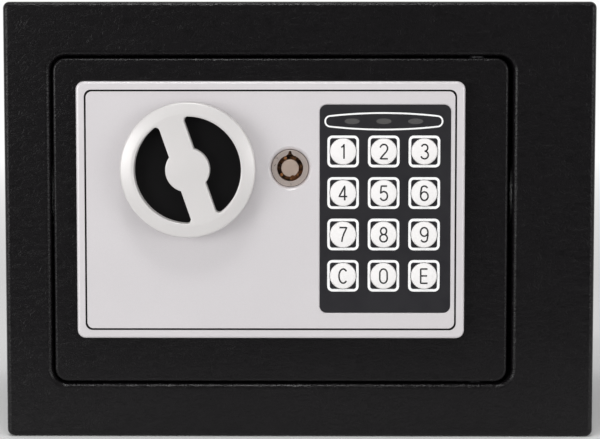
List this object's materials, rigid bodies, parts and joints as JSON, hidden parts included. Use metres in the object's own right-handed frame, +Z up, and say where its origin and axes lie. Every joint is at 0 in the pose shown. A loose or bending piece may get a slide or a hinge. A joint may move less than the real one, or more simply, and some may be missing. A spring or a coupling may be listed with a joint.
{
  "type": "safe deposit box",
  "caption": "Small sheet-steel electronic safe with a flush hinged door, keypad, turn knob with sliding bolts and a tubular key override.",
  "frame": {"origin": "centre of the base's underside", "axes": "+X to the right as seen from the front, +Y from the front into the safe, +Z up"},
  "size_m": [0.23, 0.1842, 0.17],
  "materials": {
    "case_paint": "fine wrinkle powder coat",
    "inner_paint": "satin powder coat",
    "felt": "needled felt",
    "black_plastic": "fine moulded grain",
    "zinc_steel": "zinc plated",
    "bolt_steel": "turned and polished",
    "bush_brass": "turned",
    "panel_silver": "silver paint, satin",
    "overlay_dark": "printed film, satin",
    "lens_grey": "smoked lens",
    "board_green": "solder mask",
    "ribbon_grey": "ribbon insulation",
    "lead_red": "moulded",
    "lock_nickel": "nickel plate, worn",
    "coil_copper": "enamelled winding",
    "battery_sleeve": "plain sleeve",
    "knob_silver": "silver paint, satin",
    "knob_black": "fine moulded grain",
    "key_white": "satin"
  },
  "bodies": {
    "case": {"front_frame": "case_paint", "body_wrap": "case_paint", "back_panel": "case_paint", "hinge_bracket_upper": "inner_paint", "hinge_bracket_lower": "inner_paint", "floor_mat": "felt"},
    "door": {"door_plate": "case_paint", "door_pan": "inner_paint", "back_cover": "black_plastic", "cover_screws": "zinc_steel", "hinge_blocks": "inner_paint", "hinge_pins": "inner_paint", "front_panel": "panel_silver", "panel_screws": "zinc_steel", "keypad_overlay": "overlay_dark", "keypad_board": "board_green", "indicator_lenses": "lens_grey", "main_board": "board_green", "board_standoffs": "zinc_steel", "buzzer": "black_plastic", "keypad_ribbon": "ribbon_grey", "solenoid_lead": "lead_red", "battery_lead": "lead_red", "spindle_bush": "bush_brass", "bolt_bushes": "bush_brass", "guide_posts": "zinc_steel", "lock_housing": "lock_nickel", "lock_nut": "zinc_steel", "solenoid_frame": "zinc_steel", "solenoid_coil": "coil_copper", "battery_tray": "black_plastic", "batteries": "battery_sleeve", "battery_contacts": "zinc_steel"},
    "knob": {"knob": "knob_silver", "knob_insert": "knob_black", "knob_spindle": "zinc_steel", "spindle_clip": "zinc_steel", "drive_crank": "zinc_steel"},
    "bolt_carriage": {"bolt_plate": "zinc_steel", "upper_bolt": "bolt_steel", "lower_bolt": "bolt_steel"},
    "lock_core": {"lock_core": "lock_nickel", "lock_cam": "zinc_steel"},
    "plunger": {"solenoid_plunger": "zinc_steel", "plunger_spring": "zinc_steel"},
    "battery_lid": {"battery_cover": "black_plastic"},
    "reset_button": {"reset_button": "lead_red"},
    "key_1": {"key_1": "key_white"},
    "key_2": {"key_2": "key_white"},
    "key_3": {"key_3": "key_white"},
    "key_4": {"key_4": "key_white"},
    "key_5": {"key_5": "key_white"},
    "key_6": {"key_6": "key_white"},
    "key_7": {"key_7": "key_white"},
    "key_8": {"key_8": "key_white"},
    "key_9": {"key_9": "key_white"},
    "key_clear": {"key_clear": "key_white"},
    "key_0": {"key_0": "key_white"},
    "key_enter": {"key_enter": "key_white"}
  },
  "joints": [
    {"name": "door_hinge", "type": "hinge", "parent": "case", "child": "door", "pos_m": [0.06915, -0.078, 0.085], "axis": [0, 0, 1], "range_deg": [0, 100]},
    {"name": "knob_turn", "type": "hinge", "parent": "door", "child": "knob", "pos_m": [-0.0428, -0.0902, 0.1055], "axis": [0, -1, 0], "range_deg": [0, 90]},
    {"name": "bolt_throw", "type": "slide", "parent": "door", "child": "bolt_carriage", "axis": [-1, 0, 0], "range_m": [0, 0.01555]},
    {"name": "lock_turn", "type": "hinge", "parent": "door", "child": "lock_core", "pos_m": [-0.0036, -0.0904, 0.1058], "axis": [0, 1, 0], "range_deg": [0, 90]},
    {"name": "plunger_drop", "type": "slide", "parent": "door", "child": "plunger", "axis": [0, 0, 1], "range_m": [-0.005, 0], "deforming": ["plunger_spring"]},
    {"name": "battery_lid_pull", "type": "slide", "parent": "door", "child": "battery_lid", "axis": [0, 1, 0], "range_m": [0, 0.025]},
    {"name": "reset_press", "type": "slide", "parent": "door", "child": "reset_button", "axis": [0, -1, 0], "range_m": [0, 0.0012], "stiffness_N_per_m": 500},
    {"name": "key_1_press", "type": "slide", "parent": "door", "child": "key_1", "axis": [0, 1, 0], "range_m": [0, 0.0006], "stiffness_N_per_m": 1500},
    {"name": "key_2_press", "type": "slide", "parent": "door", "child": "key_2", "axis": [0, 1, 0], "range_m": [0, 0.0006], "stiffness_N_per_m": 1500},
    {"name": "key_3_press", "type": "slide", "parent": "door", "child": "key_3", "axis": [0, 1, 0], "range_m": [0, 0.0006], "stiffness_N_per_m": 1500},
    {"name": "key_4_press", "type": "slide", "parent": "door", "child": "key_4", "axis": [0, 1, 0], "range_m": [0, 0.0006], "stiffness_N_per_m": 1500},
    {"name": "key_5_press", "type": "slide", "parent": "door", "child": "key_5", "axis": [0, 1, 0], "range_m": [0, 0.0006], "stiffness_N_per_m": 1500},
    {"name": "key_6_press", "type": "slide", "parent": "door", "child": "key_6", "axis": [0, 1, 0], "range_m": [0, 0.0006], "stiffness_N_per_m": 1500},
    {"name": "key_7_press", "type": "slide", "parent": "door", "child": "key_7", "axis": [0, 1, 0], "range_m": [0, 0.0006], "stiffness_N_per_m": 1500},
    {"name": "key_8_press", "type": "slide", "parent": "door", "child": "key_8", "axis": [0, 1, 0], "range_m": [0, 0.0006], "stiffness_N_per_m": 1500},
    {"name": "key_9_press", "type": "slide", "parent": "door", "child": "key_9", "axis": [0, 1, 0], "range_m": [0, 0.0006], "stiffness_N_per_m": 1500},
    {"name": "key_clear_press", "type": "slide", "parent": "door", "child": "key_clear", "axis": [0, 1, 0], "range_m": [0, 0.0006], "stiffness_N_per_m": 1500},
    {"name": "key_0_press", "type": "slide", "parent": "door", "child": "key_0", "axis": [0, 1, 0], "range_m": [0, 0.0006], "stiffness_N_per_m": 1500},
    {"name": "key_enter_press", "type": "slide", "parent": "door", "child": "key_enter", "axis": [0, 1, 0], "range_m": [0, 0.0006], "stiffness_N_per_m": 1500}
  ],
  "couplings": [
    {"joint": "knob_turn", "follows": "bolt_throw", "rad_per_m": 101}
  ]
}
